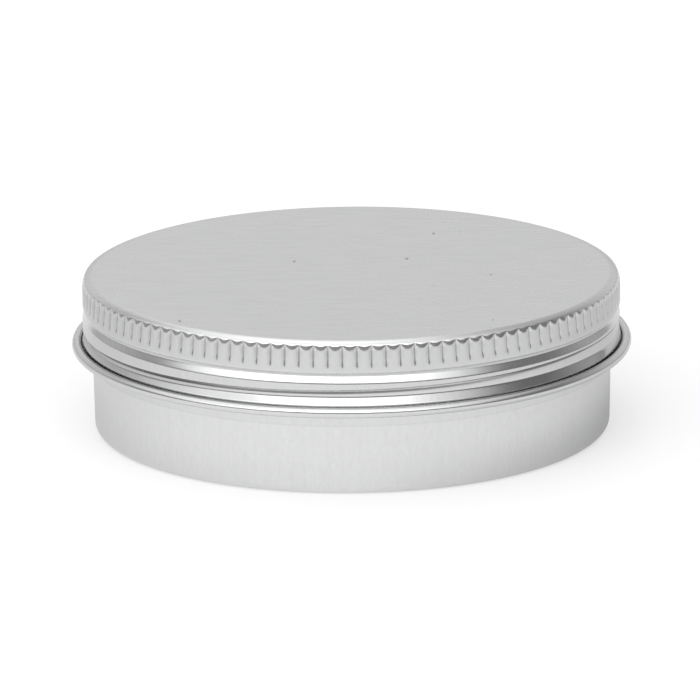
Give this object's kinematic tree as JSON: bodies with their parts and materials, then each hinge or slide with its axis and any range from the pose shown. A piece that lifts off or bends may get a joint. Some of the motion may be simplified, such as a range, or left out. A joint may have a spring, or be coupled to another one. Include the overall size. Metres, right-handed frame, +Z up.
{
  "type": "screw-top candle tin",
  "caption": "Low round aluminium tin with a knurled screw lid, ring bead and foam liner, for pouring container candles, balms or soap.",
  "frame": {"origin": "centre of the base's standing ring, on the surface that the tin stands on", "axes": "+Z up along the tin's axis, out of the mouth; -Y is the front; azimuths run counter-clockwise seen from above"},
  "size_m": [0.083, 0.083, 0.0233],
  "materials": {
    "tin_aluminium": "satin",
    "lid_aluminium": "satin",
    "liner_foam": "matte"
  },
  "bodies": {
    "tin": {"tin_body": "tin_aluminium"},
    "seal": {"liner": "liner_foam"},
    "lid": {"screw_lid": "lid_aluminium"}
  },
  "joints": [
    {"name": "lid_lift", "type": "slide", "parent": "tin", "child": "seal", "axis": [0, 0, 1], "range_m": [0, 0.0118]},
    {"name": "lid_turn", "type": "hinge", "parent": "seal", "child": "lid", "pos_m": [0, 0, 0.0166], "axis": [0, 0, 1], "range_deg": [0, 1080]}
  ],
  "couplings": [
    {"joint": "lid_lift", "follows": "lid_turn", "m_per_rad": 0.0006207}
  ]
}
